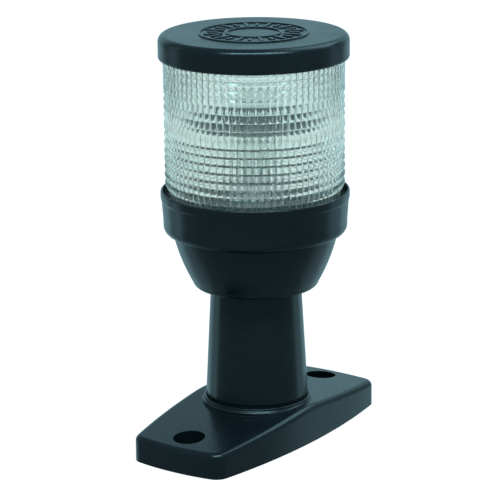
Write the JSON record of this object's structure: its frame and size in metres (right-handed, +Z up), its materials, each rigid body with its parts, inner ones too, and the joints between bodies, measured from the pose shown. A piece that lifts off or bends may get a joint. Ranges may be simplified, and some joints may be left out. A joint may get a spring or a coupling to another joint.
{
  "type": "all-round navigation light",
  "caption": "Fixed all-round navigation light: ribbed clear globe with black cap on a locking collar, bowl, short stem and boat-shaped screw-down flange, bayonet bulb inside.",
  "frame": {"origin": "middle of the flange's underside, on the stem's axis", "axes": "+Z up along the stem; +X along the flange, through both deck screw holes; +Y across the flange"},
  "size_m": [0.088, 0.057, 0.1249],
  "materials": {
    "black_plastic": "finely textured matte black moulding",
    "lens_plastic": "clear ribbed acrylic with a faint green tint",
    "rubber": "matte black nitrile rubber",
    "gasket_foam": "matte closed-cell foam rubber",
    "screw_steel": "stainless steel",
    "bracket_steel": "zinc-plated strip",
    "nickel": "nickel plate",
    "brass": "plain brass",
    "solder": "dull tin solder",
    "bulb_glass": "clear thin glass",
    "tungsten": "drawn wire",
    "spring_steel": "spring wire",
    "phenolic": "brown phenolic",
    "black_glass": "black glass insulator",
    "shield_aluminium": "bright pressed sheet",
    "nylon": "natural nylon",
    "red_pvc": "red wire insulation",
    "black_pvc": "black wire insulation"
  },
  "bodies": {
    "base": {"mounting_flange": "black_plastic", "base_gasket": "gasket_foam", "stem": "black_plastic", "stem_seal": "rubber", "stem_screws": "screw_steel", "lamp_housing": "black_plastic", "housing_screws": "screw_steel", "lead_grommet": "rubber", "socket_shell": "nickel", "contact_carrier": "phenolic", "socket_bracket": "bracket_steel", "bracket_screws": "screw_steel", "lead_connectors": "brass", "connector_sleeves": "nylon", "lead_positive": "red_pvc", "lead_negative": "black_pvc", "plunger_spring_positive": "spring_steel", "plunger_spring_negative": "spring_steel"},
    "seal_ring": {"globe_seal": "rubber"},
    "globe": {"locking_collar": "black_plastic", "lens": "lens_plastic", "top_cap": "black_plastic", "cap_seal": "rubber", "heat_shield": "shield_aluminium", "shield_rivet": "shield_aluminium"},
    "bulb": {"bulb_base": "nickel", "bulb_insulator": "black_glass", "bulb_contacts": "solder", "bulb_envelope": "bulb_glass", "bulb_stem": "bulb_glass", "filament_supports": "tungsten", "filament": "tungsten"},
    "positive_plunger": {"contact_plunger_positive": "brass"},
    "negative_plunger": {"contact_plunger_negative": "brass"}
  },
  "joints": [
    {"name": "globe_turn", "type": "hinge", "parent": "base", "child": "seal_ring", "pos_m": [0, 0, 0.0686], "axis": [0, 0, 1], "range_deg": [-25, 0]},
    {"name": "globe_lift", "type": "slide", "parent": "seal_ring", "child": "globe", "axis": [0, 0, 1], "range_m": [0, 0.05]},
    {"name": "bulb_pull", "type": "slide", "parent": "base", "child": "bulb", "axis": [0, 0, 1], "range_m": [0, 0.009]},
    {"name": "positive_plunger_push", "type": "slide", "parent": "base", "child": "positive_plunger", "axis": [0, 0, 1], "range_m": [-0.0015, 0], "stiffness_N_per_m": 400, "deforming": ["plunger_spring_positive"]},
    {"name": "negative_plunger_push", "type": "slide", "parent": "base", "child": "negative_plunger", "axis": [0, 0, 1], "range_m": [-0.0015, 0], "stiffness_N_per_m": 400, "deforming": ["plunger_spring_negative"]}
  ]
}
